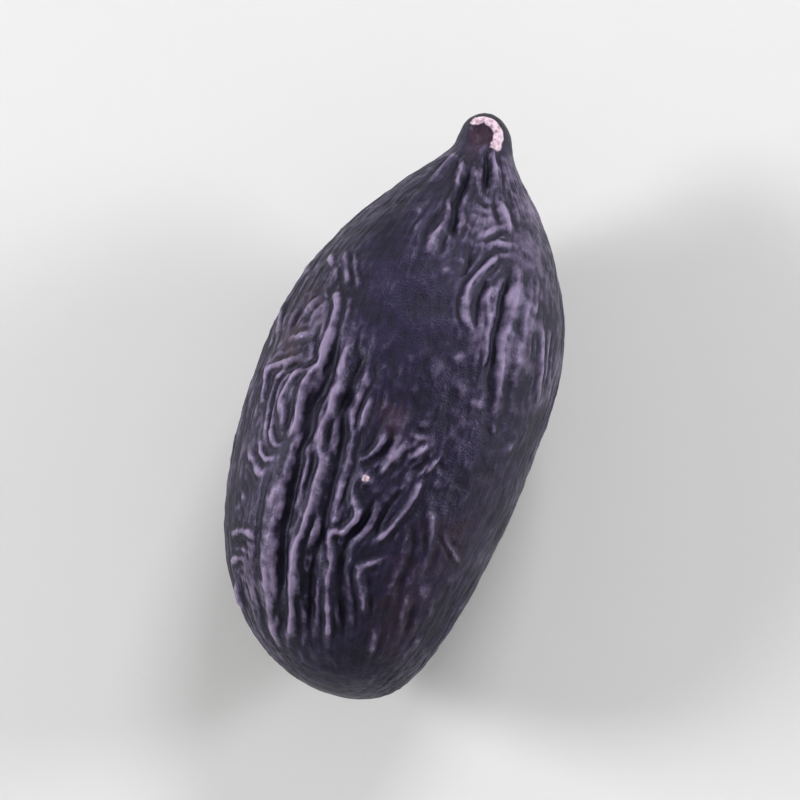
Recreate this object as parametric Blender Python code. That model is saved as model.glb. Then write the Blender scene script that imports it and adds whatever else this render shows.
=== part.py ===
"""A black-skinned peanut kernel, shelled, lying on its belly.

Metres, +Z up. The kernel lies along Y with its pale beak towards +Y and its blunt end towards -Y.
Z is zero on the small flat spot that it rests on, and X and Y are zero at the middle of its plan outline.
"""

import math

import bmesh
import bpy

MM = 0.001

# Overall form
LENGTH = 17.0 * MM
HALF_WIDTH = 4.13 * MM
HALF_HEIGHT_ABOVE = 3.98 * MM
HALF_HEIGHT_BELOW = 3.88 * MM
FLAT_SPOT_DEPTH = 0.13 * MM

# The body's outline: where it is fullest, how fully it swells out of its two ends, and where it would close
FULLEST = 8.5 * MM
BLUNTNESS = 2.28
TAPER = 2.3
BODY_CLOSES = 16.1 * MM

# The beak, a tapering snout that runs on out of the body
BEAK_RADIUS = 0.56 * MM
BEAK_WIDENING = 0.3

# Cross-section: 2 is an ellipse, and more is squarer
ROUNDNESS_ABOVE = 2.08
ROUNDNESS_BELOW = 2.25

# The axis: (distance from the blunt end, sideways bow, height above the blunt end's), which a smooth curve joins
AXIS = [
    (0.0 * MM, -0.05 * MM, 0.00 * MM),
    (1.2 * MM, -0.42 * MM, 0.03 * MM),
    (3.2 * MM, -0.66 * MM, 0.10 * MM),
    (7.0 * MM, -0.52 * MM, 0.16 * MM),
    (11.0 * MM, -0.17 * MM, 0.20 * MM),
    (13.5 * MM, 0.03 * MM, 0.42 * MM),
    (15.6 * MM, 0.12 * MM, 0.72 * MM),
    (17.0 * MM, 0.02 * MM, 0.86 * MM),
]

# Broad swells and hollows, where neighbours in the pod pressed on the kernel:
# (distance from the blunt end, angle round the axis, spread along, spread round, height)
# The angle is 0 at +X and 90 at the top.
SWELLS = [
    (11.8 * MM, 47, 3.2 * MM, 13, 0.15 * MM),
    (12.2 * MM, 76, 2.6 * MM, 13, -0.13 * MM),
    (11.6 * MM, 112, 2.4 * MM, 17, 0.06 * MM),
    (5.8 * MM, 128, 3.6 * MM, 11, 0.10 * MM),
    (6.0 * MM, 104, 3.0 * MM, 9, -0.08 * MM),
    (4.2 * MM, 66, 2.6 * MM, 18, -0.10 * MM),
    (8.8 * MM, 14, 3.4 * MM, 15, -0.08 * MM),
    (9.5 * MM, 172, 3.8 * MM, 14, 0.03 * MM),
    (10.4 * MM, 214, 3.4 * MM, 13, -0.12 * MM),
    (6.4 * MM, 238, 3.0 * MM, 12, 0.08 * MM),
    (11.2 * MM, 262, 2.8 * MM, 14, -0.10 * MM),
    (5.2 * MM, 322, 3.2 * MM, 13, -0.12 * MM),
    (10.6 * MM, 340, 3.0 * MM, 11, 0.10 * MM),
]

# Mesh fineness
RINGS = 45
SPOKES = 64

SKIN_COLOUR = (0.020, 0.016, 0.026, 1.0)
SKIN_ROUGHNESS = 0.5


def along_curve(points, distance, column):
    """One column of the listed points, read at a distance from a smooth curve through them."""
    last = len(points) - 1
    at = max(i for i in range(last) if points[i][0] <= distance or i == 0)

    def slope(i):
        low, high = points[max(i - 1, 0)], points[min(i + 1, last)]
        return (high[column] - low[column]) / (high[0] - low[0])

    near, far = points[at], points[at + 1]
    span = far[0] - near[0]
    t = (distance - near[0]) / span
    return (
        (1 + 2 * t) * (1 - t) ** 2 * near[column]
        + t * (1 - t) ** 2 * span * slope(at)
        + t * t * (3 - 2 * t) * far[column]
        + t * t * (t - 1) * span * slope(at + 1)
    )


def outline(distance, half):
    """Half the kernel's breadth at a distance from the blunt end, given half the body's greatest breadth."""
    if distance <= FULLEST:
        return half * (1 - (1 - distance / FULLEST) ** BLUNTNESS) ** (1 / BLUNTNESS)
    share = min(1.0, (distance - FULLEST) / (BODY_CLOSES - FULLEST))
    body = half * (1 - share**TAPER)
    into_cap = max(0.0, 1 - (LENGTH - distance) / BEAK_RADIUS)
    rounding = math.sqrt(1 - into_cap**2)
    beak = share * rounding * (BEAK_RADIUS + BEAK_WIDENING * (LENGTH - distance))
    return math.hypot(body, beak)


def swelling(distance, angle):
    """Height of the broad swells at a place, in metres; it fades out where the kernel narrows."""
    total = 0.0
    for middle, turn, spread, turn_spread, height in SWELLS:
        off = (distance - middle) / spread
        turned = ((angle - turn + 180) % 360 - 180) / turn_spread
        total += height * math.exp(-0.5 * (off * off + turned * turned))
    return total


def surface_point(distance, angle):
    """The point on the skin at a distance from the blunt end and an angle round the axis, in degrees."""
    across, up = math.cos(math.radians(angle)), math.sin(math.radians(angle))
    above = up >= 0
    half_height = HALF_HEIGHT_ABOVE if above else HALF_HEIGHT_BELOW
    power = ROUNDNESS_ABOVE if above else ROUNDNESS_BELOW
    width = outline(distance, HALF_WIDTH)
    height = outline(distance, half_height)
    reach = (abs(across) ** power + abs(up) ** power) ** (-1 / power)
    swell = swelling(distance, angle) * min(1.0, width / HALF_WIDTH)
    return (
        along_curve(AXIS, distance, 1) + (width * reach + swell) * across,
        distance,
        along_curve(AXIS, distance, 2) + (height * reach + swell) * up,
    )


def kernel_skin():
    """The kernel's whole skin: a ball whose poles become the two ends and whose points move to the skin."""
    mesh = bmesh.new()
    bmesh.ops.create_uvsphere(mesh, u_segments=SPOKES, v_segments=RINGS, radius=1.0)
    for vert in mesh.verts:
        distance = LENGTH * min(1.0, max(0.0, (1 + vert.co.z) / 2))
        angle = math.degrees(math.atan2(vert.co.y, vert.co.x))
        vert.co = surface_point(distance, angle)
    return mesh


def centre_in_plan(mesh):
    """Puts X and Y zero at the middle of the plan outline."""
    middle = [(min(v.co[k] for v in mesh.verts) + max(v.co[k] for v in mesh.verts)) / 2 for k in (0, 1)]
    bmesh.ops.translate(mesh, verts=mesh.verts[:], vec=(-middle[0], -middle[1], 0))


def cut_flat_spot(mesh):
    """Slices the belly level, FLAT_SPOT_DEPTH up from its lowest point, and puts Z zero on the cut."""
    level = min(v.co.z for v in mesh.verts) + FLAT_SPOT_DEPTH
    bmesh.ops.translate(mesh, verts=mesh.verts[:], vec=(0, 0, -level))
    everything = mesh.verts[:] + mesh.edges[:] + mesh.faces[:]
    cut = bmesh.ops.bisect_plane(mesh, geom=everything, plane_co=(0, 0, 0), plane_no=(0, 0, -1), clear_outer=True)
    rim = [e for e in cut["geom_cut"] if isinstance(e, bmesh.types.BMEdge)]
    for edge in rim:
        edge.smooth = False
        for vert in edge.verts:
            vert.co.z = 0
    bmesh.ops.contextual_create(mesh, geom=rim)
    bmesh.ops.recalc_face_normals(mesh, faces=mesh.faces[:])


def skin_material():
    material = bpy.data.materials.new("skin")
    material.use_nodes = True
    shader = material.node_tree.nodes["Principled BSDF"]
    shader.inputs["Base Color"].default_value = SKIN_COLOUR
    shader.inputs["Roughness"].default_value = SKIN_ROUGHNESS
    shader.inputs["Metallic"].default_value = 0.0
    return material


def build_kernel():
    shape = kernel_skin()
    centre_in_plan(shape)
    cut_flat_spot(shape)
    mesh = bpy.data.meshes.new("kernel")
    shape.to_mesh(mesh)
    shape.free()
    mesh.shade_smooth()
    mesh.materials.append(skin_material())
    kernel = bpy.data.objects.new("kernel", mesh)
    bpy.context.scene.collection.objects.link(kernel)


for old in list(bpy.data.objects):
    bpy.data.objects.remove(old)
build_kernel()
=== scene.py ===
"""The looks of the peanut kernel: wrinkled purple-black skin and a pale beak, on a pale floor.

The kernel lies along Y with its beak towards +Y. Its shape is worked out in millimetres and turned to
metres at the end. A place on its skin is given by its distance from the blunt end and its angle round
the axis, which is 0 at +X and 90 at the top.
"""

import itertools
import math

import bmesh
import bpy
import numpy as np
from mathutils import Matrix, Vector


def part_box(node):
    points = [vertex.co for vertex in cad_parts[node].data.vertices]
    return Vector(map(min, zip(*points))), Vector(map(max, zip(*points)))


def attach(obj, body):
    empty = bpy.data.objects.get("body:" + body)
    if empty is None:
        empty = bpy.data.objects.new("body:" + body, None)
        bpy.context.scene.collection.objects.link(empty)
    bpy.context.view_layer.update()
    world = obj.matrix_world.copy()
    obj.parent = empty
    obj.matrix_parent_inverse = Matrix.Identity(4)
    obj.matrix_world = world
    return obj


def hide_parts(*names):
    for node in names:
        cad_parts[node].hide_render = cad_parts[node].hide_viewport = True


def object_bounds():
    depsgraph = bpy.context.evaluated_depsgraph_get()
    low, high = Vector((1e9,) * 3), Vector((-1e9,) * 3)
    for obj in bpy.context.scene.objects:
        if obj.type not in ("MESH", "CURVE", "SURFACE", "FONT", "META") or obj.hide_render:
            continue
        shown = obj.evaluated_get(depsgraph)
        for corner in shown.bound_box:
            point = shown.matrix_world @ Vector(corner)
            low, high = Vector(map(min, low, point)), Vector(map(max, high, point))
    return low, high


MM = 0.001

# The solid's form, which the skin follows (mm)
LENGTH = 17.0
HALF_WIDTH = 4.13
HALF_HEIGHT_ABOVE = 3.98
HALF_HEIGHT_BELOW = 3.88
FULLEST = 8.5
BLUNTNESS = 2.28
TAPER = 2.3
BODY_CLOSES = 16.1
BEAK_RADIUS = 0.56
BEAK_WIDENING = 0.3
ROUNDNESS_ABOVE = 2.08
ROUNDNESS_BELOW = 2.25

# The axis: (distance from the blunt end, sideways bow, height above the blunt end's)
AXIS = [
    (0.0, -0.05, 0.00),
    (1.2, -0.42, 0.03),
    (3.2, -0.66, 0.10),
    (7.0, -0.52, 0.16),
    (11.0, -0.17, 0.20),
    (13.5, 0.03, 0.42),
    (15.6, 0.12, 0.72),
    (17.0, 0.02, 0.86),
]

# Broad swells and hollows: (distance, angle, spread along, spread round, height)
SWELLS = [
    (11.8, 47, 3.2, 13, 0.15),
    (12.2, 76, 2.6, 13, -0.13),
    (11.6, 112, 2.4, 17, 0.06),
    (5.8, 128, 3.6, 11, 0.10),
    (6.0, 104, 3.0, 9, -0.08),
    (4.2, 66, 2.6, 18, -0.10),
    (8.8, 14, 3.4, 15, -0.08),
    (9.5, 172, 3.8, 14, 0.03),
    (10.4, 214, 3.4, 13, -0.12),
    (6.4, 238, 3.0, 12, 0.08),
    (11.2, 262, 2.8, 14, -0.10),
    (5.2, 322, 3.2, 13, -0.12),
    (10.6, 340, 3.0, 11, 0.10),
]

# The camera looks down at this azimuth and elevation. What shows on the upper side is placed by where
# the camera sees it, as (x, y) on the level plane through the kernel's widest line.
VIEW_AZIMUTH = math.radians(14.5)
VIEW_ELEVATION = math.radians(80)
WIDEST_LEVEL = 3.9
LEAN = np.array([math.sin(VIEW_AZIMUTH), -math.cos(VIEW_AZIMUTH)]) / math.tan(VIEW_ELEVATION)

# Folds on the upper side: (height, half width, [(x, y) along the fold]); a furrow's height is negative
FOLDS = [
    # the beak's long folds
    (0.15, 0.13, [(0.8, 7.7), (0.79, 7.39), (0.9, 7.1), (1.01, 6.84), (1.08, 6.35)]),
    (0.14, 0.15, [(1.2, 6.2), (1.37, 6.01), (1.63, 5.57), (1.78, 5.2)]),
    (0.12, 0.13, [(0.33, 7.0), (0.45, 6.75), (0.54, 6.51), (0.62, 6.2)]),
    (0.11, 0.11, [(0.04, 7.1), (0.03, 6.75), (-0.02, 6.4), (-0.15, 6.05)]),
    (0.09, 0.12, [(-0.2, 7.3), (-0.38, 6.9), (-0.6, 6.4), (-0.8, 6.0)]),
    (0.15, 0.13, [(-0.02, 5.75), (-0.05, 5.34), (-0.12, 4.95), (-0.24, 4.53), (-0.33, 4.0)]),
    (0.14, 0.18, [(0.55, 5.62), (0.7, 5.53), (0.85, 5.5)]),
    (0.09, 0.10, [(0.58, 4.82), (0.65, 4.7)]),
    (0.06, 0.10, [(-0.75, 5.5), (-0.85, 5.1)]),
    (0.15, 0.12, [(1.35, 4.88), (1.66, 4.94), (1.95, 5.05)]),
    (0.06, 0.13, [(0.5, 4.05), (0.3, 3.8), (0.1, 3.5)]),
    (-0.16, 0.12, [(0.2, 6.8), (0.16, 6.26), (0.11, 5.69), (0.19, 5.2), (0.25, 4.7)]),
    (-0.16, 0.14, [(0.68, 5.95), (0.9, 5.93), (1.12, 5.94)]),
    (-0.12, 0.11, [(0.68, 7.2), (0.76, 6.75), (0.85, 6.35)]),
    (-0.10, 0.10, [(-0.15, 7.0), (-0.25, 6.6), (-0.35, 6.2)]),
    (-0.12, 0.12, [(-0.3, 5.6), (-0.42, 5.2), (-0.55, 4.8), (-0.6, 4.4)]),
    (-0.11, 0.11, [(1.0, 4.85), (1.25, 5.0), (1.5, 5.22), (1.8, 5.3)]),
    (-0.09, 0.12, [(0.85, 4.55), (0.85, 4.1), (0.75, 3.6)]),
    # the right shoulder: two small folds, then the crests on both sides of the broad facet
    (0.14, 0.11, [(1.65, 4.65), (1.4, 4.3), (1.15, 3.8), (1.04, 3.3), (1.13, 2.75), (1.33, 2.3)]),
    (0.10, 0.11, [(1.75, 3.85), (1.63, 3.4), (1.68, 3.0), (1.85, 2.6)]),
    (-0.12, 0.10, [(1.48, 3.9), (1.36, 3.3), (1.42, 2.8), (1.58, 2.3)]),
    (-0.10, 0.13, [(2.02, 4.2), (2.0, 3.5), (2.04, 2.8), (2.12, 2.0), (2.25, 1.2)]),
    (0.11, 0.18, [(2.2, 4.6), (2.34, 3.8), (2.35, 2.9), (2.34, 2.2), (2.43, 1.5), (2.66, 0.0)]),
    (0.17, 0.46, [(2.6, 4.6), (2.72, 3.2), (2.82, 2.0), (2.92, 0.5)]),
    (0.04, 0.11, [(2.85, 4.3), (2.95, 3.6), (2.95, 2.9)]),
    (-0.10, 0.11, [(3.1, 2.9), (3.17, 2.4), (3.28, 1.9)]),
    (0.10, 0.15, [(3.2, 3.3), (3.35, 2.8), (3.47, 2.3), (3.6, 1.6), (3.7, 0.8)]),
    (-0.10, 0.14, [(3.6, 3.1), (3.72, 2.5), (3.82, 1.8), (3.84, 1.1)]),
    (0.08, 0.15, [(2.6, 0.1), (2.72, -0.2), (2.87, -0.5)]),
    (0.08, 0.12, [(3.4, -0.3), (3.3, -0.5), (3.2, -0.75)]),
    (0.10, 0.13, [(1.2, 1.65), (1.27, 1.42)]),
    (0.06, 0.13, [(0.85, 1.9), (0.72, 1.7)]),
    (0.07, 0.13, [(2.15, 0.5), (2.1, 0.25)]),
    # the left shoulder, with its cluster of fine slanting folds
    (0.12, 0.10, [(-2.9, 3.55), (-2.83, 3.33), (-2.74, 3.1)]),
    (0.07, 0.09, [(-2.55, 3.75), (-2.4, 3.3), (-2.2, 2.8)]),
    (0.06, 0.08, [(-2.2, 3.6), (-2.05, 3.1), (-1.85, 2.7)]),
    (-0.06, 0.08, [(-2.4, 3.6), (-2.25, 3.15), (-2.05, 2.75)]),
    (-0.06, 0.08, [(-2.65, 3.4), (-2.5, 3.0), (-2.3, 2.6)]),
    (0.07, 0.16, [(-3.5, 3.1), (-3.4, 2.85)]),
    (0.10, 0.12, [(-2.75, 2.4), (-2.95, 2.1), (-3.12, 1.75), (-3.25, 1.4)]),
    (0.16, 0.14, [
        (-2.5, 2.5), (-2.35, 2.1), (-2.33, 1.5), (-2.33, 0.9), (-2.38, 0.4), (-2.6, 0.0),
        (-2.66, -0.5), (-2.6, -1.0), (-2.6, -1.5), (-2.75, -1.9),
    ]),
    (0.12, 0.12, [(-3.45, 0.9), (-3.2, 1.0), (-2.95, 1.15), (-2.8, 1.3)]),
    (0.10, 0.12, [(-3.78, 2.0), (-3.82, 1.5), (-3.8, 1.1), (-3.75, 0.7)]),
    (-0.11, 0.11, [(-2.65, 1.7), (-2.68, 1.2), (-2.62, 0.8), (-2.7, 0.5)]),
    (-0.11, 0.12, [(-3.2, 2.1), (-3.38, 1.6), (-3.48, 1.1)]),
    # the curl on the left flank
    (0.10, 0.11, [(-2.38, 0.4), (-2.62, 0.2), (-2.9, 0.0), (-3.08, -0.3), (-3.13, -0.8), (-3.1, -1.3)]),
    (0.15, 0.12, [(-2.9, 0.55), (-3.2, 0.3), (-3.5, 0.08), (-3.68, -0.12), (-3.68, -0.6), (-3.66, -1.2)]),
    (-0.12, 0.11, [(-2.8, 0.35), (-3.15, 0.08), (-3.38, -0.3), (-3.4, -0.9), (-3.38, -1.4), (-3.25, -1.9)]),
    (-0.12, 0.11, [(-2.88, -0.3), (-2.9, -0.8), (-2.87, -1.3), (-2.87, -1.75)]),
    (0.12, 0.10, [(-3.3, -1.5), (-3.2, -1.82), (-3.0, -2.05), (-2.75, -2.05)]),
    # the two long folds down the left, with their furrows
    (0.19, 0.15, [
        (-1.8, 1.45), (-1.77, 1.0), (-1.77, 0.4), (-1.74, -0.2), (-1.78, -0.8), (-1.87, -1.4),
        (-1.75, -1.9), (-1.62, -2.2), (-1.65, -2.8), (-1.64, -3.5), (-1.68, -4.2), (-1.7, -4.8),
        (-1.6, -5.4), (-1.42, -6.2), (-1.33, -6.8), (-1.1, -7.7),
    ]),
    (0.14, 0.25, [
        (-2.6, -2.3), (-2.64, -3.2), (-2.62, -3.9), (-2.58, -4.5), (-2.44, -5.1), (-2.28, -5.7),
        (-2.05, -6.4), (-1.7, -7.1), (-1.3, -7.7),
    ]),
    (-0.19, 0.17, [
        (-2.07, 1.3), (-2.08, 0.8), (-2.13, 0.0), (-2.26, -0.7), (-2.22, -1.5), (-2.27, -2.3),
        (-2.22, -2.9), (-2.16, -3.6), (-2.13, -4.3), (-2.02, -5.0), (-1.9, -5.6), (-1.7, -6.4),
    ]),
    (-0.18, 0.17, [
        (-1.45, 1.2), (-1.32, 0.8), (-1.4, 0.0), (-1.4, -0.7), (-1.25, -1.4), (-1.2, -2.0),
        (-1.2, -2.7), (-1.17, -3.4), (-1.12, -4.1), (-1.15, -4.9), (-1.05, -5.7), (-0.92, -6.4),
        (-0.75, -7.1),
    ]),
    # short folds across the left flank
    (0.12, 0.10, [(-3.72, -2.4), (-3.53, -2.67), (-3.3, -2.9), (-3.05, -2.95)]),
    (0.11, 0.09, [(-3.5, -2.0), (-3.38, -2.3), (-3.15, -2.5), (-2.9, -2.45)]),
    (-0.09, 0.08, [(-3.6, -2.2), (-3.4, -2.5), (-3.15, -2.7)]),
    (-0.11, 0.12, [(-3.6, -2.95), (-3.47, -3.15), (-3.3, -3.25)]),
    (0.10, 0.13, [(-3.65, -3.5), (-3.52, -3.7), (-3.35, -3.9)]),
    (-0.11, 0.11, [(-3.6, -4.0), (-3.47, -4.15), (-3.3, -4.3)]),
    (0.13, 0.11, [(-3.6, -4.85), (-3.35, -4.68), (-3.0, -4.66), (-2.75, -4.85)]),
    (-0.11, 0.11, [(-3.5, -5.1), (-3.2, -4.98), (-2.95, -5.1)]),
    (0.10, 0.11, [(-3.4, -5.65), (-3.25, -5.45), (-3.05, -5.4), (-2.95, -5.55)]),
    (-0.09, 0.10, [(-3.1, -5.75), (-2.93, -5.85)]),
    (0.14, 0.14, [(-3.15, -5.9), (-3.0, -6.3), (-2.85, -6.6), (-2.6, -7.0)]),
    # the slanting folds down the middle
    (0.09, 0.14, [(-0.68, 1.5), (-0.78, 1.2)]),
    (0.09, 0.14, [(-0.5, 0.65), (-0.52, 0.35)]),
    (0.06, 0.12, [(-0.07, 0.6), (-0.07, 0.25)]),
    (0.12, 0.10, [(-0.8, 0.15), (-0.83, -0.4), (-0.84, -0.8), (-0.87, -1.25)]),
    (0.09, 0.10, [(-0.4, 0.2), (-0.35, -0.3), (-0.5, -0.85)]),
    (0.13, 0.11, [(-0.13, -0.8), (-0.23, -1.3), (-0.42, -1.65), (-0.68, -1.92)]),
    (-0.16, 0.11, [(0.02, -0.8), (-0.02, -1.25), (-0.15, -1.6), (-0.38, -1.92)]),
    (0.14, 0.11, [(0.42, -1.1), (0.25, -1.55), (0.08, -1.9), (-0.02, -2.25)]),
    (0.10, 0.15, [(0.45, -0.28), (0.3, -0.5)]),
    (-0.12, 0.12, [(0.48, -0.65), (0.75, -0.72), (1.0, -0.6)]),
    (0.14, 0.10, [(1.1, -1.0), (0.87, -1.27), (0.65, -1.6)]),
    (-0.13, 0.09, [(1.2, -1.2), (1.0, -1.6), (0.8, -1.95)]),
    (0.15, 0.10, [(1.5, -1.2), (1.3, -1.57), (1.12, -1.9)]),
    (-0.14, 0.12, [(1.4, -1.35), (1.55, -1.5), (1.8, -1.65)]),
    (0.16, 0.11, [(1.1, -1.9), (1.06, -2.4), (0.95, -2.8), (0.78, -3.2), (0.53, -3.67), (0.32, -4.1)]),
    (0.13, 0.11, [(0.7, -4.35), (0.4, -4.55), (0.13, -4.75), (0.18, -5.2), (0.38, -5.65), (0.53, -6.1)]),
    (-0.14, 0.12, [(0.75, -2.3), (0.5, -2.9), (0.25, -3.5), (0.1, -4.1)]),
    (0.16, 0.12, [
        (-0.4, -2.6), (-0.5, -3.0), (-0.3, -3.5), (-0.58, -3.9), (-0.9, -4.07), (-0.83, -4.45),
        (-0.68, -4.93), (-0.66, -5.3), (-0.54, -5.75), (-0.42, -6.3), (-0.25, -7.1),
    ]),
    (-0.14, 0.13, [
        (-0.02, -2.8), (-0.05, -3.3), (-0.25, -3.75), (-0.45, -4.3), (-0.38, -4.9), (-0.2, -5.5),
        (-0.05, -6.1), (0.1, -6.7),
    ]),
    (-0.12, 0.12, [(-0.85, -2.2), (-0.8, -2.9), (-0.88, -3.5)]),
    # the mottled lower right
    (0.14, 0.09, [(2.05, -3.35), (2.25, -3.55), (2.48, -3.82), (2.75, -4.02)]),
    (-0.11, 0.10, [(2.15, -3.2), (2.45, -3.2)]),
    (-0.11, 0.09, [(2.45, -3.5), (2.7, -3.7)]),
    (0.08, 0.13, [(2.1, -1.1), (2.35, -1.5)]),
    (-0.10, 0.14, [(2.0, -1.7), (2.3, -2.05)]),
    (0.09, 0.11, [(0.85, -4.5), (1.1, -4.35)]),
    (0.10, 0.14, [(2.27, -5.3), (2.25, -5.55)]),
    (0.10, 0.14, [(2.1, -6.3), (2.15, -6.55)]),
    (0.06, 0.14, [(1.4, -2.6), (1.7, -3.2), (1.8, -4.0), (1.7, -4.8)]),
    (-0.07, 0.14, [(1.2, -3.2), (1.35, -4.0), (1.3, -4.9), (1.0, -5.7)]),
    (0.06, 0.12, [(1.6, -5.0), (1.5, -5.6), (1.6, -6.2)]),
    (-0.06, 0.12, [(1.85, -5.2), (1.8, -5.8), (1.85, -6.5)]),
    (0.06, 0.12, [(0.9, -6.2), (1.0, -6.8), (1.0, -7.2)]),
]

# A path on the skin: the spacing of its points (mm), how many times a place is looked up again at the
# height just found, and how far short of the kernel's two ends it stays (mm)
PATH_STEP = 0.05
SIGHT_ROUNDS = 5
SHORT_OF_ENDS = 0.01

# Wherever noise is listed below, it is a list of layers: (amount, grain in mm, seed)

# What unsettles the drawn folds: noise that shakes their lines (mm), noise that varies their strength
# about 1, their middle sharpness, and the noise that varies it
FOLD_SHAKE = [(0.05, 0.8, 21), (0.018, 0.27, 25)]
FOLD_STRENGTH = [(0.45, 1.1, 24), (0.3, 0.4, 28)]
FOLD_SHARPNESS = 1.45
SHARPNESS_NOISE = [(0.4, 0.7, 29)]

# A fold's section, in half widths from its line: how fast its crest falls, the half width (mm) at which the
# crest is round, and the (height, place, width) of the dip beside it and of the faint second fold
CREST_FALL = 1.4
ROUND_CREST = 0.3
SIDE_DIP = (-0.22, 2.4, 0.8)
SECOND_FOLD = (0.12, 4.1, 0.9)

# How far a fold reaches and how far it leads the wrinkles beside it, in half widths, and the share of its
# reach at which it begins to fade
FOLD_REACH = 6
FOLD_LEAD = 3
FADES_FROM = 0.7

# A fold's ends: their length, in half widths at least or as a share of the fold, and the height left there
END_HALF_WIDTHS = 3.5
END_SHARE = 0.1
END_HEIGHT = 0.1

# The torn tip of the beak, where the kernel hung: its ragged rim, which rises as it comes away from its ends
# and is pale, and the raw hollow that it bends round, painted darker as shade. Noise shakes both.
TORN_RIM = [(-0.08, 8.08), (0.08, 8.26), (0.3, 8.36), (0.56, 8.3), (0.76, 8.1), (0.8, 7.8), (0.78, 7.45)]
RIM_HEIGHT = 0.09
RIM_WIDTH = 0.13
RIM_ENDS = (-0.15, 0.3)
PALE_RIM_WIDTH = 0.17
TIP_HOLLOW = (0.28, 7.9)
HOLLOW_DEPTH = 0.13
HOLLOW_WIDTH = 0.26
HOLLOW_SHADE = 0.4
RAW_WIDTH = 0.36
TIP_SHAKE = [(0.05, 0.16, 51), (0.06, 0.4, 54)]

# The pale scar along the beak's underside, by (distance, angle): a groove between two lips, which rise as
# they come away from the scar's ends. The groove's depth is a share of the lips' height.
SCAR = [(16.7, 306), (16.2, 304), (15.6, 301), (15.0, 298)]
SCAR_ENDS = (-0.1, 0.4)
SCAR_PALENESS = 0.85
PALE_SCAR_WIDTH = 0.14
LIP_HEIGHT = 0.06
LIP_PLACE = 0.16
LIP_WIDTH = 0.08
GROOVE_SHARE = 0.8
GROOVE_WIDTH = 0.09

# The low uneven seam that runs on from the scar to the blunt end, and rises over SEAM_END at each end
SEAM = [(15.0, 298), (12.5, 292), (9.5, 286), (6.5, 281), (3.5, 276), (1.4, 272)]
SEAM_HEIGHT = 0.11
SEAM_WIDTH = 0.2
SEAM_END = 1.5
SEAM_NOISE = [(0.5, 0.9, 35)]

# Soft patches on the upper side: (x, y, half length along y, strength). Each is PATCH_WIDTH times as wide as
# it is long, and fades in between two heights above the floor.
PATCH_WIDTH = 0.6
PATCH_HEIGHTS = (3.2, 4.8)
SMOOTH_PATCHES = [
    (-1.0, 3.5, 1.8, 0.8),
    (0.6, 2.9, 1.2, 0.5),
    (0.9, 0.6, 1.0, 0.3),
    (2.95, 2.3, 2.4, 0.9),
    (3.7, 1.6, 2.4, 0.6),
    (2.2, 5.3, 1.3, 0.6),
]
RUSSET_PATCHES = [
    (-3.3, 0.6, 0.9, 0.65),
    (-3.1, 2.2, 0.8, 0.5),
    (-0.3, -0.5, 0.8, 0.6),
    (0.2, -0.5, 0.5, 0.5),
    (1.5, -4.4, 2.0, 0.4),
    (1.5, -6.6, 1.6, 0.4),
    (2.6, -3.3, 1.2, 0.4),
    (3.0, -1.6, 1.0, 0.3),
    (-1.2, -6.8, 1.0, 0.25),
    (0.2, 7.6, 0.6, 0.7),
]
# Patches of bloom and painted sheen, brightest where the facets face the light
BLOOM_AND_SHEEN_PATCHES = [
    (2.9, 2.6, 2.6, 0.55),
    (3.6, 2.0, 2.2, 0.3),
    (1.1, 6.2, 2.0, 0.75),
    (2.1, 5.2, 1.6, 0.7),
    (-2.7, 2.4, 1.4, 0.55),
    (-2.9, -0.2, 2.6, 0.85),
    (-2.4, -4.0, 3.0, 0.5),
    (-2.0, -6.2, 1.8, 0.8),
    (1.1, 0.7, 1.9, 0.42),
    (0.3, -1.6, 1.8, 0.4),
]

# Small warts on the upper side: (x, y, radius, height), whose outlines noise shakes
WARTS = [
    (-0.37, -2.33, 0.18, 0.085),
    (1.22, 1.52, 0.17, 0.055),
    (2.05, 0.38, 0.18, 0.05),
    (1.62, 0.72, 0.2, 0.04),
    (0.75, 1.05, 0.22, 0.04),
    (-2.87, 3.38, 0.15, 0.05),
    (-2.4, 2.35, 0.18, 0.05),
    (-3.66, -0.1, 0.17, 0.055),
    (0.08, -0.68, 0.18, 0.05),
    (-0.02, -4.75, 0.16, 0.05),
    (1.55, -2.05, 0.15, 0.05),
    (1.95, -5.0, 0.2, 0.05),
    (2.3, -5.55, 0.18, 0.05),
    (1.6, -6.15, 0.2, 0.05),
    (2.15, -6.45, 0.18, 0.05),
    (1.45, -4.1, 0.2, 0.04),
    (2.55, -4.55, 0.18, 0.05),
    (1.1, -5.3, 0.22, 0.04),
]
WART_SHAKE = [(0.05, 0.2, 61)]

# The heights at which a wart begins to be pale and is as pale as it gets; the pale fleck is a painted glint
GLINT_WART_HEIGHTS = (0.045, 0.0765)
WART_GLINT_PALENESS = 0.85

# Places along the kernel at which its smooth form's box is measured
BOX_PLACES = 400

# Mesh fineness: squares along one edge of the cube that is blown up into the kernel, and how far the
# squares are then drawn towards its upper side, where the finest folds are
FINENESS = 128
UPPER_SHARE = 0.2

# The sheet that the drawn folds are read from: places along and round it, and the noise added to it (mm)
SHEET_SIZE = 384
SHEET_NOISE = [(0.05, 0.7, 36)]

# Wrinkles that grow all over, led by the drawn folds:
# (waves round the kernel, stretch along it, rounded height, creased height, lead of the folds, seed)
WRINKLES = [
    (29, 2.3, 0.060, 0.024, 6.0, 3),
    (50, 1.8, 0.048, 0.022, 7.0, 8),
    (84, 1.2, 0.016, 0.010, 5.0, 12),
]

# How they grow: places across one wave, the number of steps and their size, how uneven the skin is at
# first, how eagerly it buckles, how much more outward than inward, how hard the folds push it, and how
# much the wrinkles that cross the kernel are held back
PLACES_PER_WAVE = 10
GROWING_STEPS = 60
GROWING_STEP = 0.6
FIRST_UNEVENNESS = 0.3
BUCKLING = 0.5
OUTWARD_LEANING = 0.35
FOLD_PUSH = 0.5
CROSSWISE_MISFIT = 0.25

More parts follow.
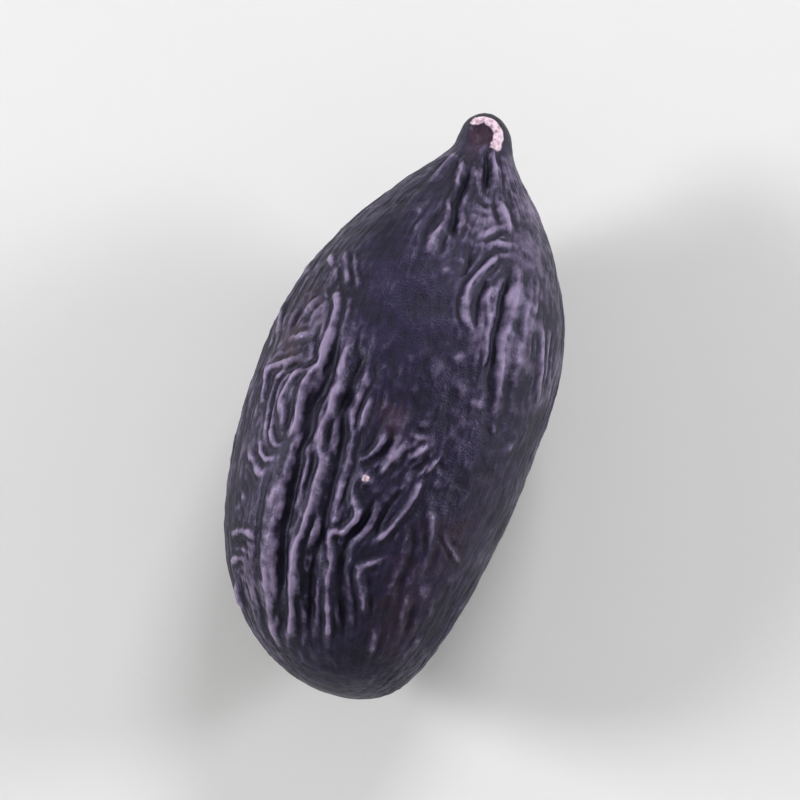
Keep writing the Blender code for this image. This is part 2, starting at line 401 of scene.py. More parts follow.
# Their form: how peaked the rounded ones are, how sharp the creased ones are, the share of the creased
# ones' height lost beside a fold, and the share of the height of both lost on the upper side elsewhere
PEAKEDNESS = 1.5
CREASE_SHARPNESS = 3
CREASE_LOSS = 0.65
UPPER_LOSS = 0.5

# The upper side begins and is whole at these sines of the angle. Below it the wrinkles are bent by noise,
# along the kernel (mm) and round it (degrees).
UPPER_SINES = (0.25, 0.6)
BEND_ALONG = [(0.9, 2.6, 31)]
BEND_ROUND = [(8, 2.2, 32), (2.5, 0.8, 38)]

# How lively they are: a middle and its noise, the least beside a fold, the breadths, as shares of the
# greatest, over which the ends become lively, and how much of it a smooth patch takes
LIVELINESS = 0.6
LIVELINESS_NOISE = [(0.5, 2.4, 33)]
LIVELY_FOLDS = 0.9
LIVELY_BREADTHS = (0.05, 0.55)
SMOOTHING = 0.8

# How much of the drawn folds' own height shows, besides the wrinkles that they lead
DRAWN_SHARE = 0.75

# Unevenness of the whole skin (mm)
SKIN_NOISE = [(0.03, 1.3, 34), (0.02, 0.55, 37)]

# Fine crinkles all over: their height, what liveliness adds to it, their coarsest grain, their stretch
# along the kernel, the number of layers, the first layer's seed, and the noise that swirls them
CRINKLE_HEIGHT = 0.008
LIVELY_CRINKLE_HEIGHT = 0.022
CRINKLE_GRAIN = 0.5
CRINKLE_STRETCH = 1.7
CRINKLE_LAYERS = 3
CRINKLE_SEED = 44
CRINKLE_SWIRL = [(0.12, 0.6, 41)]

# The share of the wrinkled skin, in percent, that lies no higher than the smooth form
SKIN_BELOW_FORM = 85

# Crest heights, which paint bloom and sheen on the crests and shade in the furrows: the height (mm) above
# close and above wider surroundings that counts as one, how many times the heights are averaged to get these
# surroundings, and the greatest paleness
CLOSE_RISE = 0.030
CLOSE_ROUNDS = 8
WIDE_RISE = 0.12
WIDE_ROUNDS = 120
PALEST = 2.4

# Skin colours, and the tint of its shine seen straight on. The furrow colour is painted shade, and the bloom
# colour is bloom with painted sheen.
FURROW_SHADE_COLOUR = (0.0030, 0.0022, 0.0065, 1)
SKIN_COLOUR = (0.0140, 0.0098, 0.0300, 1)
BLOOM_AND_SHEEN_COLOUR = (0.270, 0.224, 0.325, 1)
RUSSET_COLOUR = (0.036, 0.017, 0.023, 1)
RAW_SHADED_HOLLOW_COLOUR = (0.034, 0.014, 0.022, 1)
DULL_FLESH = (0.36, 0.22, 0.25, 1)
PALE_FLESH = (0.78, 0.64, 0.67, 1)
SHINE_TINT = (0.77, 0.76, 1.0, 1)

# The skin's tone, low in the furrows, where it paints shade, and high on the crests, where it paints bloom
# and
# sheen: the grain (mm) that breaks up the crests and (lowest noise, highest noise, share at lowest, share at
# highest), the grain and share of the mottling, the grain of the specks, and what is taken off
CREST_GRAIN = 0.35
CREST_BREAKS = (0.3, 0.7, 0.45, 1.0)
MOTTLE_GRAIN = 1.1
MOTTLE_SHARE = 1.6
SPECK_GRAIN = 0.22
TONE_TAKEN = 0.68

# Ranges over which one colour turns to the next: by the tone from painted furrow shade to skin, and from
# skin to bloom and painted sheen, to which the bloom and sheen patches add
FURROW_SHADE_TONES = (0.2, 0.9)
BLOOM_AND_SHEEN_TONES = (0.8, 2.4)
BLOOM_AND_SHEEN_PATCH_SHARE = 0.6

# From these to russet, with its least and most share, to the raw hollow, painted darker as shade, and to
# flesh, which has a ragged edge and is dull or pale in spots; the grains are in mm
RUSSET_RANGE = (0.7, 1.3, 0.0, 0.5)
RUSSET_GRAIN = 0.45
RAW_RANGE = (0.1, 0.7)
FLESH_RANGE = (0.70, 0.96)
FLESH_EDGE_GRAIN = 0.16
FLESH_EDGE_SHARE = 0.7
PALE_FLESH_RANGE = (0.3, 0.6)
FLESH_GRAIN = 0.12

# The skin's shine: (lowest tone, highest tone, roughness at lowest, roughness at highest), and its bumps,
# with two grains and a height in mm
ROUGHNESS_BY_TONE = (0.3, 1.3, 0.52, 0.30)
SKIN_SPECULAR = 0.5
SKIN_IOR = 1.45
BUMP_GRAIN = 0.14
BUMP_STRETCH = (1, 2, 1)
FINE_BUMP_GRAIN = 0.05
BUMP_STRENGTH = 0.6
BUMP_HEIGHT = 0.03

# The floor: its flat part, the curve round it, the wall's height and how far it lies below the kernel (m),
# the steps of the curve and round the floor, its two colours and their grain (mm), and its shine
FLAT_RADIUS = 0.28
CURVE_RADIUS = 0.16
WALL_HEIGHT = 0.5
FLOOR_DROP = 0.00002
CURVE_STEPS = 12
FLOOR_SPOKES = 96
FLOOR_TONES = [(0.74, 0.77, 0.70, 1), (0.76, 0.79, 0.72, 1)]
FLOOR_GRAIN = 9.0
FLOOR_ROUGHNESS = 0.85
FLOOR_SPECULAR = 0.2

# The lamps, all at one distance from the kernel (m): (name, azimuth, elevation, size in m, power in W,
# colour), with angles in degrees; and the even light of the sky
LAMP_REACH = 0.26
LAMPS = [
    ("right_softbox", 115, 22, 0.075, 0.42, (0.94, 0.88, 1.0)),
    ("left_softbox", -82, 28, 0.075, 0.54, (0.96, 0.90, 1.0)),
    ("back_softbox", 176, 38, 0.09, 0.32, (0.94, 0.88, 1.0)),
]
SKY_COLOUR = (0.88, 0.85, 1.0, 1)
SKY_STRENGTH = 0.32

# The camera: its lens (mm), its distance from the kernel's middle, and what it clips (m)
CAMERA_LENS = 200
CAMERA_REACH = 0.125
CLIP_START = 0.002
CLIP_END = 5


# Form

def along_curve(points, distance, column):
    """One column of the listed points, read at each distance from a smooth curve through them."""
    table = np.array(points)
    where, value = table[:, 0], table[:, column]
    slope = np.empty_like(value)
    slope[1:-1] = (value[2:] - value[:-2]) / (where[2:] - where[:-2])
    slope[0] = (value[1] - value[0]) / (where[1] - where[0])
    slope[-1] = (value[-1] - value[-2]) / (where[-1] - where[-2])
    at = np.clip(np.searchsorted(where, distance, side="right") - 1, 0, len(where) - 2)
    span = where[at + 1] - where[at]
    t = (distance - where[at]) / span
    return (
        (1 + 2 * t) * (1 - t) ** 2 * value[at]
        + t * (1 - t) ** 2 * span * slope[at]
        + t * t * (3 - 2 * t) * value[at + 1]
        + t * t * (t - 1) * span * slope[at + 1]
    )


def outline(distance, half):
    """Half the kernel's breadth at each distance, given half the body's greatest breadth."""
    before = np.clip(1 - distance / FULLEST, 0, 1)
    share = np.clip((distance - FULLEST) / (BODY_CLOSES - FULLEST), 0, 1)
    body = np.where(distance <= FULLEST, (1 - before**BLUNTNESS) ** (1 / BLUNTNESS), 1 - share**TAPER)
    into_cap = np.clip(1 - (LENGTH - distance) / BEAK_RADIUS, 0, 1)
    beak = share * np.sqrt(1 - into_cap**2) * (BEAK_RADIUS + BEAK_WIDENING * (LENGTH - distance))
    return np.hypot(half * body, beak)


def smooth_form(distance, angle):
    """Points on the solid's smooth form, before they are set in their place in the frame."""
    across, up = np.cos(np.radians(angle)), np.sin(np.radians(angle))
    above = up >= 0
    power = np.where(above, ROUNDNESS_ABOVE, ROUNDNESS_BELOW)
    width = outline(distance, HALF_WIDTH)
    height = outline(distance, np.where(above, HALF_HEIGHT_ABOVE, HALF_HEIGHT_BELOW))
    reach = (np.abs(across) ** power + np.abs(up) ** power) ** (-1 / power)
    swell = 0
    for middle, turn, spread, turn_spread, rise in SWELLS:
        off = (distance - middle) / spread
        turned = ((angle - turn + 180) % 360 - 180) / turn_spread
        swell = swell + rise * np.exp(-0.5 * (off * off + turned * turned))
    swell = swell * np.minimum(1, width / HALF_WIDTH)
    x = along_curve(AXIS, distance, 1) + (width * reach + swell) * across
    z = along_curve(AXIS, distance, 2) + (height * reach + swell) * up
    return np.stack([x, distance, z], axis=-1)


def place_in_frame():
    """What moves the smooth form into the frame: middles together in plan, and tops level."""
    distance, angle = np.meshgrid(np.linspace(0, LENGTH, BOX_PLACES), np.arange(360.0))
    form = smooth_form(distance.ravel(), angle.ravel())
    low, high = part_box("kernel")
    middle = np.array((low + high) / 2) / MM
    move = middle - (form.min(axis=0) + form.max(axis=0)) / 2
    move[2] = high.z / MM - form[:, 2].max()
    return move


def cube_mesh():
    """A cube cut into fine squares, which leaves no poles when it is blown up into the kernel."""
    shape = bmesh.new()
    bmesh.ops.create_cube(shape, size=2.0)
    bmesh.ops.subdivide_edges(shape, edges=shape.edges[:], cuts=FINENESS - 1, use_grid_fill=True)
    mesh = bpy.data.meshes.new("skin")
    shape.to_mesh(mesh)
    shape.free()
    return mesh


def places_on_ball(cube):
    """The distance and angle of each point of the cube, once it is blown up into an even ball."""
    ball = np.tan(cube * math.pi / 4)
    ball /= np.linalg.norm(ball, axis=1)[:, None]
    ball[:, 2] += UPPER_SHARE
    ball /= np.linalg.norm(ball, axis=1)[:, None]
    distance = LENGTH * (1 + ball[:, 1]) / 2
    angle = np.degrees(np.arctan2(ball[:, 2], ball[:, 0])) % 360
    return distance, angle


def read_points(mesh, what="vertices", field="co"):
    """Three numbers for each of the mesh's points: its place, or its normal."""
    values = np.empty(len(mesh.vertices) * 3, np.float32)
    getattr(mesh, what).foreach_get(field, values)
    return values.reshape(-1, 3).astype(float)


def move_points(mesh, points):
    mesh.vertices.foreach_set("co", points.astype(np.float32).ravel())
    mesh.update()


def put_in_scene(name, data):
    made = bpy.data.objects.new(name, data)
    bpy.context.scene.collection.objects.link(made)
    return made


# Relief

# The twelve ways from a cube's middle to the middles of its edges
GRADIENTS = np.array([way for way in itertools.product((-1, 0, 1), repeat=3) if way.count(0) == 1])
NOISE_TABLE = 256


def smooth_noise(points, seed):
    """Gradient noise, from about -1 to 1, at each point, with bumps about one unit apart."""
    order = np.random.default_rng(seed).permutation(NOISE_TABLE)
    cell = np.floor(points).astype(int)
    part = points - cell
    fade = part**3 * (part * (part * 6 - 15) + 10)
    total = np.zeros(len(points))
    for corner in itertools.product((0, 1), repeat=3):
        at = cell + corner
        pick = 0
        for axis in range(3):
            pick = order[(pick + at[:, axis]) % NOISE_TABLE]
        share = np.prod(np.where(np.array(corner) == 1, fade, 1 - fade), axis=1)
        total += share * np.sum(GRADIENTS[pick % len(GRADIENTS)] * (part - corner), axis=1)
    return total


def uneven(points, middle, layers):
    """A number that varies about its middle from point to point, by layers of noise."""
    total = np.full(len(points), float(middle))
    for amount, grain, seed in layers:
        total += amount * smooth_noise(points / grain, seed)
    return total


def unsettled(points, layers):
    """The points, each moved a little by layers of noise."""
    moved = points.copy()
    for amount, grain, seed in layers:
        for k in range(3):
            moved[:, k] += amount * smooth_noise(points / grain, seed + k)
    return moved


def crinkles(points):
    """Sharp-crested crinkles, from about -1 to 1, along the kernel; each layer is half as coarse."""
    total = np.zeros(len(points))
    for layer in range(CRINKLE_LAYERS):
        size = CRINKLE_GRAIN / 2**layer
        place = points / (size, CRINKLE_STRETCH * size, size)
        total += (0.5 - 2 * np.abs(smooth_noise(place, CRINKLE_SEED + layer))) / 2**layer
    return total


def bell(gap, width):
    """1 where the gap is none, and falling to nearly 0 at twice the width."""
    return np.exp(-((gap / width) ** 2))


def sheet_places(size):
    """The distance and angle of each place on a square sheet, whose rows run along the kernel."""
    return np.meshgrid(np.linspace(0, LENGTH, size), np.arange(size) * 360 / size, indexing="ij")


def grown_wrinkles(waves, stretch, guide, seed):
    """A sheet of wrinkles, as a thin skin buckles on a shrinking core, led by a sheet of drawn folds.

    Each step lets the skin buckle a little more, then irons out what doesn't fit the wavelength.
    """
    size = 2 ** math.ceil(math.log2(PLACES_PER_WAVE * waves))
    round_way = np.fft.rfftfreq(size, 1 / size)[None, :] / waves
    circumference = 2 * math.pi * HALF_WIDTH
    along_way = np.fft.fftfreq(size, 1 / size)[:, None] / waves * stretch * circumference / LENGTH
    misfit = (1 - round_way**2 - along_way**2) ** 2 + CROSSWISE_MISFIT * along_way**2
    push = FOLD_PUSH * np.clip(read_sheet(guide, *sheet_places(size)), -1, 1)
    skin = FIRST_UNEVENNESS * np.random.default_rng(seed).standard_normal((size, size))
    for _ in range(GROWING_STEPS):
        pull = skin * (BUCKLING + skin * (OUTWARD_LEANING - skin)) + push
        buckled = np.fft.rfft2(skin + GROWING_STEP * pull)
        skin = np.fft.irfft2(buckled / (1 + GROWING_STEP * misfit), s=skin.shape)
    return skin / np.abs(skin).max()


def read_sheet(sheet, distance, angle):
    """A sheet's value at each place, between its four nearest points."""
    rows, columns = sheet.shape
    row = distance / LENGTH * (rows - 1)
    column = angle / 360 * columns
    r, c = np.floor(row).astype(int), np.floor(column).astype(int)
    fr, fc = row - r, column - c

    def at(a, b):
        return sheet[a % rows, b % columns]

    low = at(r, c) * (1 - fc) + at(r, c + 1) * fc
    high = at(r + 1, c) * (1 - fc) + at(r + 1, c + 1) * fc
    return low * (1 - fr) + high * fr


def smooth_step(low, high, value):
    t = np.clip((value - low) / (high - low), 0, 1)
    return t * t * (3 - 2 * t)


def place_on_skin(seen, move):
    """The (distance, angle) of the smooth form's upper side that the camera sees at each (x, y)."""
    seen = np.array(seen, float)
    turns = np.arange(180.0, -1.0, -1.0)
    rise = np.zeros((len(seen), 1))
    for _ in range(SIGHT_ROUNDS):
        plan = seen + LEAN * rise
        distance = np.clip(plan[:, 1] - move[1], SHORT_OF_ENDS, LENGTH - SHORT_OF_ENDS)
        slices = smooth_form(np.repeat(distance[:, None], len(turns), axis=1), turns) + move
        angle = np.array([np.interp(x, cut[:, 0], turns) for x, cut in zip(plan[:, 0], slices)])
        level = smooth_form(distance, angle)[:, 2] + move[2]
        rise = level[:, None] - WIDEST_LEVEL
    return np.column_stack([distance, angle])


def spot_on_skin(seen, move):
    """The point of the smooth form that the camera sees at one (x, y)."""
    distance, angle = place_on_skin([seen], move).T
    return smooth_form(distance, angle)[0] + move


def path_on_skin(places, move):
    """Close-set points on the smooth form, along a smooth path through (distance, angle) places."""
    places = np.array(places, float)
    corners = smooth_form(places[:, 0], places[:, 1])
    lengths = np.linalg.norm(np.diff(corners, axis=0), axis=1)
    ring = np.vstack([2 * places[0] - places[1], places, 2 * places[-1] - places[-2]])
    pieces = []
    for k, length in enumerate(lengths):
        a, b, c, d = ring[k : k + 4]
        t = np.linspace(0, 1, max(2, round(length / PATH_STEP)), endpoint=False)[:, None]
        bend = t**2 * (a - 2.5 * b + 2 * c - 0.5 * d) + t**3 * (1.5 * (b - c) + 0.5 * (d - a))
        pieces.append(b + 0.5 * t * (c - a) + bend)
    pieces.append(places[-1:])
    path = np.vstack(pieces)
    return smooth_form(path[:, 0], path[:, 1]) + move


def nearest_on_path(points, path):
    """Each point's distance from a path, and how far its nearest place there is from the path's end."""
    gap = np.full(len(points), np.inf)
    nearest = np.zeros(len(points), int)
    for i, spot in enumerate(path):
        away = np.linalg.norm(points - spot, axis=1)
        closer = away < gap
        gap[closer] = away[closer]
        nearest[closer] = i
    return gap, np.minimum(nearest, len(path) - 1 - nearest) * PATH_STEP


def fold_profile(gap, half_width):
    """Height across a fold: 1 on its line, then a shallow dip and a faint second fold."""
    softness = half_width / ROUND_CREST
    off = gap / half_width
    profile = np.exp(-CREST_FALL * (np.sqrt(off**2 + softness**2) - softness))
    for height, place, width in (SIDE_DIP, SECOND_FOLD):
        profile += height * bell(off - place, width)
    return profile


def drawn_folds(points, move):
    """The drawn folds' height at each point, in mm, and how near a fold it is, from 0 to 1."""
    shaken = unsettled(points, FOLD_SHAKE)
    strength = uneven(points, 1, FOLD_STRENGTH)
    sharpness = uneven(points, FOLD_SHARPNESS, SHARPNESS_NOISE)
    relief = np.zeros(len(points))
    nearness = np.zeros(len(points))
    for height, half_width, seen in FOLDS:
        path = path_on_skin(place_on_skin(seen, move), move)
        reach = FOLD_REACH * half_width
        near = np.all((shaken > path.min(axis=0) - reach) & (shaken < path.max(axis=0) + reach), axis=1)
        found = np.flatnonzero(near)
        gap, run = nearest_on_path(shaken[found], path)
        end = max(END_HALF_WIDTHS * half_width, END_SHARE * PATH_STEP * len(path))
        share = END_HEIGHT + (1 - END_HEIGHT) * smooth_step(0, end, run)
        share *= smooth_step(reach, FADES_FROM * reach, gap)
        profile = fold_profile(gap * sharpness[found], half_width)
        relief[found] += height * share * strength[found] * profile
        nearness[found] = np.maximum(nearness[found], share * bell(gap, FOLD_LEAD * half_width))
    return relief, nearness


def wrinkle_guide(move):
    """A sheet of the drawn folds' heights, slightly unsettled, which leads the wrinkles that grow."""
    form = smooth_form(*[place.ravel() for place in sheet_places(SHEET_SIZE)]) + move
    guide = drawn_folds(form, move)[0] + uneven(form, 0, SHEET_NOISE)
    return guide.reshape(SHEET_SIZE, SHEET_SIZE)


def seam_ridge(points, move):
    """Height of the low seam along the underside at each point, in mm."""
    gap, run = nearest_on_path(points, path_on_skin(SEAM, move))
    strength = uneven(points, 1, SEAM_NOISE)
    return SEAM_HEIGHT * strength * smooth_step(0, SEAM_END, run) * bell(gap, SEAM_WIDTH)


def peaked(value):
    """A value from -1 to 1 made sharper where it is high and flatter where it is low."""
    return (np.exp(PEAKEDNESS * value) - 1) / (math.exp(PEAKEDNESS) - 1)


def liveliness(points, distance, near):
    """How strongly each point is wrinkled: more beside a fold, less at the ends and in smooth patches."""
    lively = uneven(points, LIVELINESS, LIVELINESS_NOISE)
    lively *= smooth_step(*LIVELY_BREADTHS, outline(distance, HALF_WIDTH) / HALF_WIDTH)
    lively = np.maximum(lively, LIVELY_FOLDS * near)
    return lively * (1 - SMOOTHING * np.minimum(1, patches(points, SMOOTH_PATCHES)))


def wrinkles(points, distance, angle, near, guide):
    """Height of the wrinkles that grow at each point, in mm, where the skin is fully lively."""
    upper = smooth_step(*UPPER_SINES, np.sin(np.radians(angle)))
    along = distance + (1 - upper) * uneven(points, 0, BEND_ALONG)
    turned = angle + (1 - upper) * uneven(points, 0, BEND_ROUND)
    total = np.zeros(len(points))
    for waves, stretch, rounded, creased, lead, seed in WRINKLES:
        raised = read_sheet(grown_wrinkles(waves, stretch, lead * guide, seed), along, turned)
        total += rounded * peaked(raised)
        total += creased * (1 - CREASE_LOSS * near) * (1 - CREASE_SHARPNESS * np.abs(raised))
    return total * (1 - UPPER_LOSS * upper * (1 - near))


def skin_relief(points, distance, angle, move):
    """How far each point of the skin stands out from the smooth form, in mm."""
    drawn, near = drawn_folds(points, move)
    lively = liveliness(points, distance, near)
    relief = DRAWN_SHARE * drawn
    relief += lively * wrinkles(points, distance, angle, near, wrinkle_guide(move))
    relief += uneven(points, 0, SKIN_NOISE)
    relief += seam_ridge(points, move)
    swirled = unsettled(points, CRINKLE_SWIRL)
    relief += (CRINKLE_HEIGHT + LIVELY_CRINKLE_HEIGHT * lively) * crinkles(swirled)
    return relief


def patches(points, places):
    """How strongly each point lies in the listed soft patches of the upper side."""
    seen = points[:, :2] - LEAN * (points[:, 2:] - WIDEST_LEVEL)
    total = np.zeros(len(points))
    for x, y, half_length, strength in places:
        away = np.hypot((seen[:, 0] - x) / PATCH_WIDTH, seen[:, 1] - y)
        total += strength * bell(away, half_length) * smooth_step(*PATCH_HEIGHTS, points[:, 2])
    return total


def spread_out(mesh, values, rounds):
    """Values at the mesh's points, each averaged with its neighbours' a number of times over."""
    ends = np.empty(len(mesh.edges) * 2, np.int32)
    mesh.edges.foreach_get("vertices", ends)
    one, other = ends.reshape(-1, 2).T
    count = len(values)
    neighbours = np.bincount(one, minlength=count) + np.bincount(other, minlength=count)
    for _ in range(rounds):
        around = np.bincount(one, values[other], count) + np.bincount(other, values[one], count)
        values = 0.5 * (values + around / neighbours)
    return values


def crest_heights(mesh, relief):
    """How far each point stands above its close and its wider surroundings, evened out to PALEST."""
    crest = (relief - spread_out(mesh, relief, CLOSE_ROUNDS)) / CLOSE_RISE
    crest += (relief - spread_out(mesh, relief, WIDE_ROUNDS)) / WIDE_RISE
    return PALEST * np.tanh(crest / PALEST)


def tip_fields(points, move):
    """The torn tip and scar: their relief in mm, how pale each point is, and how far it lies in the raw,
    shaded hollow.
    """
    ragged = unsettled(points, TIP_SHAKE)
    away = np.linalg.norm(ragged - spot_on_skin(TIP_HOLLOW, move), axis=1)
    pit = bell(away, HOLLOW_WIDTH)
    gap, run = nearest_on_path(ragged, path_on_skin(place_on_skin(TORN_RIM, move), move))
    end = smooth_step(*RIM_ENDS, run)
    relief = RIM_HEIGHT * end * bell(gap, RIM_WIDTH) - HOLLOW_DEPTH * pit
    pale = end * bell(gap, PALE_RIM_WIDTH) - HOLLOW_SHADE * pit
    gap, run = nearest_on_path(ragged, path_on_skin(SCAR, move))
    end = smooth_step(*SCAR_ENDS, run)
    lips = bell(gap - LIP_PLACE, LIP_WIDTH) - GROOVE_SHARE * bell(gap, GROOVE_WIDTH)
    relief += LIP_HEIGHT * end * lips
    pale += SCAR_PALENESS * end * bell(gap, PALE_SCAR_WIDTH)
    return relief, pale, bell(away, RAW_WIDTH)


def warts(points, move):
    """How far the small warts stand out at each point, in mm."""
    ragged = unsettled(points, WART_SHAKE)
    total = np.zeros(len(points))
    for x, y, radius, height in WARTS:
        away = np.linalg.norm(ragged - spot_on_skin((x, y), move), axis=1)
        total += height * bell(away, radius)
    return total


def build_skin():
    """The kernel's whole skin, one closed mesh that never goes below the floor."""
    mesh = cube_mesh()
    distance, angle = places_on_ball(read_points(mesh))
    move = place_in_frame()
    points = smooth_form(distance, angle) + move
    move_points(mesh, points)
    outward = read_points(mesh, "vertex_normals", "vector")
    relief = skin_relief(points, distance, angle, move)
    relief -= np.percentile(relief, SKIN_BELOW_FORM)
    torn, pale, raw = tip_fields(points, move)
    warty = warts(points, move)
    relief = relief * (1 - raw) + torn + warty
    raised = points + outward * relief[:, None]
    raised[:, 2] = np.maximum(raised[:, 2], 0)
    move_points(mesh, raised * MM)
    # The crest heights, from which the skin's material paints shade in the furrows and bloom and sheen on
    # the crests
    store(mesh, "crest", crest_heights(mesh, relief))
    # Pale: the torn rim and the scar, and on the tallest warts a painted glint
    store(mesh, "pale", np.maximum(pale, WART_GLINT_PALENESS * smooth_step(*GLINT_WART_HEIGHTS, warty)))
    store(mesh, "russet", patches(points, RUSSET_PATCHES))
    # Bloom and painted sheen, added in patches where the skin faces the light
    store(mesh, "bloom_and_sheen", patches(points, BLOOM_AND_SHEEN_PATCHES))
    # How far each point lies in the tip's hollow, which is painted raw and in shade
    store(mesh, "raw", raw)
    mesh.shade_smooth()
    return put_in_scene("skin", mesh)


def store(mesh, name, values):
    """Keeps one number for each point of the mesh, for the materials to read."""
    mesh.attributes.new(name, "FLOAT", "POINT").data.foreach_set("value", values.astype(np.float32))


# Materials

class Nodes:
    """Builds one material's nodes round its Principled shader."""

    def __init__(self, name):
        self.material = bpy.data.materials.new(name)
        self.material.use_nodes = True
        self.tree = self.material.node_tree
        self.shader = self.tree.nodes["Principled BSDF"]

    def add(self, kind, inputs=(), **settings):
        """Adds a node; inputs are (socket, value or output) pairs."""
        made = self.tree.nodes.new(kind)
        for key, value in settings.items():
            setattr(made, key, value)
        for socket, value in inputs:
            self.feed(made.inputs[socket], value)
        return made

    def feed(self, socket, value):
        """Gives a socket a value, or links an output to it."""
        if isinstance(value, bpy.types.NodeSocket):
            self.tree.links.new(value, socket)
        else:
            socket.default_value = value

    def set(self, name, value):
        """Gives the shader's named input a value or an output."""
        self.feed(self.shader.inputs[name], value)

    def kept(self, name):
        """A number stored on the mesh's points."""
        return self.add("ShaderNodeAttribute", attribute_name=name).outputs["Fac"]

    def millimetres(self):
        """The object's own coordinates, in millimetres."""
        place = self.add("ShaderNodeTexCoord").outputs["Object"]
        pairs = [(0, place), ("Scale", 1 / MM)]
        return self.add("ShaderNodeVectorMath", pairs, operation="SCALE").outputs[0]

    def noise(self, place, grain, detail=3.0, stretch=(1, 1, 1)):
        """Noise from 0 to 1 whose bumps are about one grain (mm) apart."""
        pairs = [(0, place), (1, [1 / (grain * s) for s in stretch])]
        scaled = self.add("ShaderNodeVectorMath", pairs, operation="MULTIPLY").outputs[0]
        pairs = [("Vector", scaled), ("Scale", 1.0), ("Detail", detail)]
        return self.add("ShaderNodeTexNoise", pairs).outputs["Fac"]

    def spread(self, value, low, high, to_low=0.0, to_high=1.0):
        """Value from low to high made to run smoothly from to_low to to_high."""
        pairs = [("Value", value), ("From Min", low), ("From Max", high)]
        pairs += [("To Min", to_low), ("To Max", to_high)]
        return self.add("ShaderNodeMapRange", pairs, interpolation_type="SMOOTHSTEP").outputs[0]

    def math(self, operation, first, second):
        return self.add("ShaderNodeMath", [(0, first), (1, second)], operation=operation).outputs[0]

    def mix(self, share, first, second):
        """Two colours mixed by a share from 0 to 1."""
        made = self.add("ShaderNodeMix", data_type="RGBA")
        for name, value in (("Factor_Float", share), ("A_Color", first), ("B_Color", second)):
            socket = next(i for i in made.inputs if i.identifier == name)
            self.feed(socket, value)
        return next(o for o in made.outputs if o.identifier == "Result_Color")


def crest_tone(nodes, place):
    """Low in furrows, to paint shade, and high on crests, to paint bloom and sheen, with an uneven grain."""
    broken = nodes.spread(nodes.noise(place, CREST_GRAIN, detail=4.0), *CREST_BREAKS)
    tone = nodes.math("MULTIPLY", nodes.kept("crest"), broken)
    mottle = nodes.math("MULTIPLY", nodes.noise(place, MOTTLE_GRAIN, detail=4.0), MOTTLE_SHARE)
    tone = nodes.math("ADD", tone, mottle)
    tone = nodes.math("ADD", tone, nodes.noise(place, SPECK_GRAIN, detail=5.0))
    return nodes.math("SUBTRACT", tone, TONE_TAKEN)


def skin_colour(nodes, place, tone):
    """Painted shade in furrows, purple-black skin, painted sheen and bloom on crests, russet patches, bare
    tip.
    """
    # Painted shade: the furrows turn darker than the skin
    colour = nodes.mix(nodes.spread(tone, *FURROW_SHADE_TONES), FURROW_SHADE_COLOUR, SKIN_COLOUR)
    # Bloom and painted sheen on the crests, raised further in their patches
    bloom_and_sheen = nodes.math("ADD", tone, nodes.math("MULTIPLY", nodes.kept("bloom_and_sheen"), BLOOM_AND_SHEEN_PATCH_SHARE))
    colour = nodes.mix(nodes.spread(bloom_and_sheen, *BLOOM_AND_SHEEN_TONES), colour, BLOOM_AND_SHEEN_COLOUR)
    russet = nodes.math("ADD", nodes.kept("russet"), nodes.noise(place, RUSSET_GRAIN, detail=5.0))
    colour = nodes.mix(nodes.spread(russet, *RUSSET_RANGE), colour, RUSSET_COLOUR)
    # The tip's hollow: raw skin, painted darker as shade
    colour = nodes.mix(nodes.spread(nodes.kept("raw"), *RAW_RANGE), colour, RAW_SHADED_HOLLOW_COLOUR)
    ragged = nodes.math("MULTIPLY", nodes.noise(place, FLESH_EDGE_GRAIN), FLESH_EDGE_SHARE)
    ragged = nodes.math("ADD", nodes.kept("pale"), ragged)
    paler = nodes.spread(nodes.noise(place, FLESH_GRAIN), *PALE_FLESH_RANGE)
    flesh = nodes.mix(paler, DULL_FLESH, PALE_FLESH)
    return nodes.mix(nodes.spread(ragged, *FLESH_RANGE), colour, flesh)


def skin_material():
    """A dry, faintly waxy seed coat."""
    nodes = Nodes("skin")
    place = nodes.millimetres()
    tone = crest_tone(nodes, place)
    coarse = nodes.noise(place, BUMP_GRAIN, detail=4.0, stretch=BUMP_STRETCH)
    bumps = nodes.math("ADD", coarse, nodes.noise(place, FINE_BUMP_GRAIN, detail=2.0))
    pairs = [("Strength", BUMP_STRENGTH), ("Distance", BUMP_HEIGHT * MM), ("Height", bumps)]
    nodes.set("Base Color", skin_colour(nodes, place, tone))
    nodes.set("Specular IOR Level", SKIN_SPECULAR)
    nodes.set("IOR", SKIN_IOR)
    nodes.set("Specular Tint", SHINE_TINT)
    nodes.set("Roughness", nodes.spread(tone, *ROUGHNESS_BY_TONE))
    nodes.set("Normal", nodes.add("ShaderNodeBump", pairs).outputs[0])
    return nodes.material


def floor_material():
    """Plain matt paper."""
    nodes = Nodes("floor")
    nodes.set("Base Color", nodes.mix(nodes.noise(nodes.millimetres(), FLOOR_GRAIN), *FLOOR_TONES))
    nodes.set("Roughness", FLOOR_ROUGHNESS)
    nodes.set("Specular IOR Level", FLOOR_SPECULAR)
    return nodes.material


# Studio

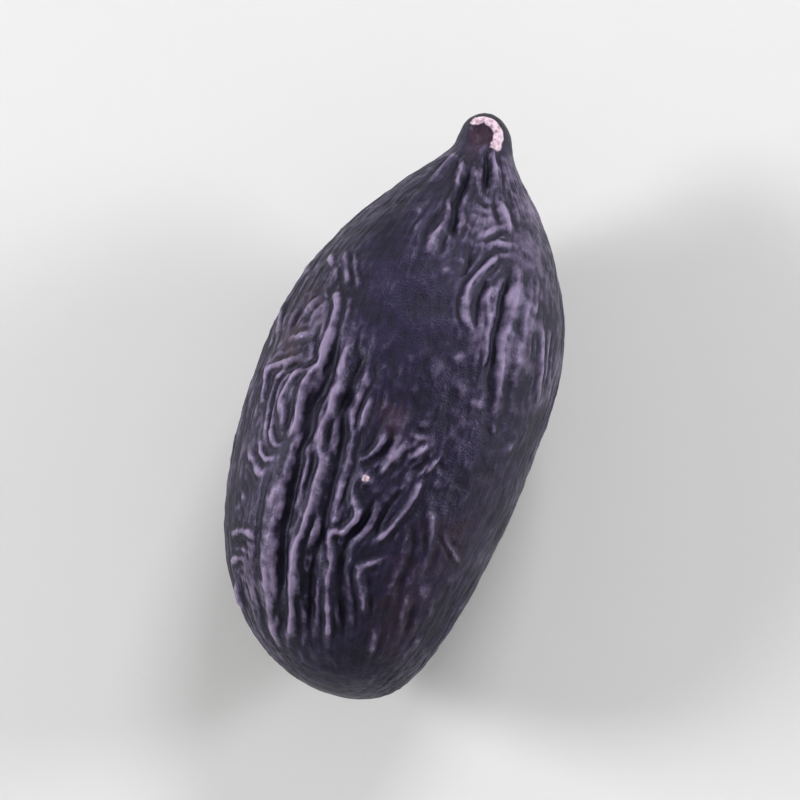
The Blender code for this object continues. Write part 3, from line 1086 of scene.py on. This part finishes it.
def build_floor():
    """A round pale floor that curves up all round into a low wall."""
    profile = [(0.0, 0.0), (FLAT_RADIUS, 0.0)]
    for i in range(1, CURVE_STEPS + 1):
        turn = math.radians(90 * i / CURVE_STEPS)
        out, up = CURVE_RADIUS * math.sin(turn), CURVE_RADIUS * (1 - math.cos(turn))
        profile.append((FLAT_RADIUS + out, up))
    profile.append((FLAT_RADIUS + CURVE_RADIUS, WALL_HEIGHT))
    shape = bmesh.new()
    points = [shape.verts.new((r, 0, z - FLOOR_DROP)) for r, z in profile]
    edges = [shape.edges.new(pair) for pair in zip(points, points[1:])]
    turning = {"cent": (0, 0, 0), "axis": (0, 0, 1), "angle": math.tau, "steps": FLOOR_SPOKES}
    bmesh.ops.spin(shape, geom=points + edges, use_merge=True, **turning)
    bmesh.ops.remove_doubles(shape, verts=shape.verts[:], dist=1e-6)
    bmesh.ops.recalc_face_normals(shape, faces=shape.faces[:])
    mesh = bpy.data.meshes.new("floor")
    shape.to_mesh(mesh)
    shape.free()
    mesh.shade_smooth()
    mesh.materials.append(floor_material())
    floor = put_in_scene("floor", mesh)


def way_to(azimuth, elevation):
    """The way from the kernel to a viewer or a lamp; an azimuth of 0 is on the -Y side."""
    level = math.cos(elevation)
    return Vector((math.sin(azimuth) * level, -math.cos(azimuth) * level, math.sin(elevation)))


def look_from(thing, target, way, reach):
    """Puts a lamp or the camera at a reach from the target, facing it."""
    thing.location = target + way * reach
    thing.rotation_euler = (-way).to_track_quat("-Z", "Y").to_euler()


def soft_light(name, azimuth, elevation, size, power, colour):
    """A square soft light that faces the kernel."""
    light = bpy.data.lights.new(name, "AREA")
    light.size = size
    light.energy = power
    light.color = colour
    lamp = put_in_scene(name, light)
    lamp.visible_camera = False
    look_from(lamp, Vector(), way_to(math.radians(azimuth), math.radians(elevation)), LAMP_REACH)


def build_lights():
    for lamp in LAMPS:
        soft_light(*lamp)
    world = bpy.data.worlds.new("studio")
    world.use_nodes = True
    background = world.node_tree.nodes["Background"]
    background.inputs["Color"].default_value = SKY_COLOUR
    background.inputs["Strength"].default_value = SKY_STRENGTH
    bpy.context.scene.world = world


def build_camera(box):
    """Looks down on the kernel from nearly overhead, with the beak at the upper right."""
    camera = bpy.data.cameras.new("camera")
    camera.lens = CAMERA_LENS
    camera.clip_start = CLIP_START
    camera.clip_end = CLIP_END
    eye = put_in_scene("camera", camera)
    low, high = box
    look_from(eye, (low + high) / 2, way_to(VIEW_AZIMUTH, VIEW_ELEVATION), CAMERA_REACH)
    bpy.context.scene.camera = eye


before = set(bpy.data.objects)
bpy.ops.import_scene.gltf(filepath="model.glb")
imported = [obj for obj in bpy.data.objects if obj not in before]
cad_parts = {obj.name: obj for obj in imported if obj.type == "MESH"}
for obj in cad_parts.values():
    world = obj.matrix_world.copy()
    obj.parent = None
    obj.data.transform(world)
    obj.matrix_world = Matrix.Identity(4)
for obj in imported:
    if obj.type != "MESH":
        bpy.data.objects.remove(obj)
cad_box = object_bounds()
build_camera(cad_box)
build_lights()
build_floor()
skin = build_skin()
skin.data.materials.append(skin_material())
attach(skin, "root")
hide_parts("kernel")
bpy.context.scene.view_settings.view_transform = "Standard"
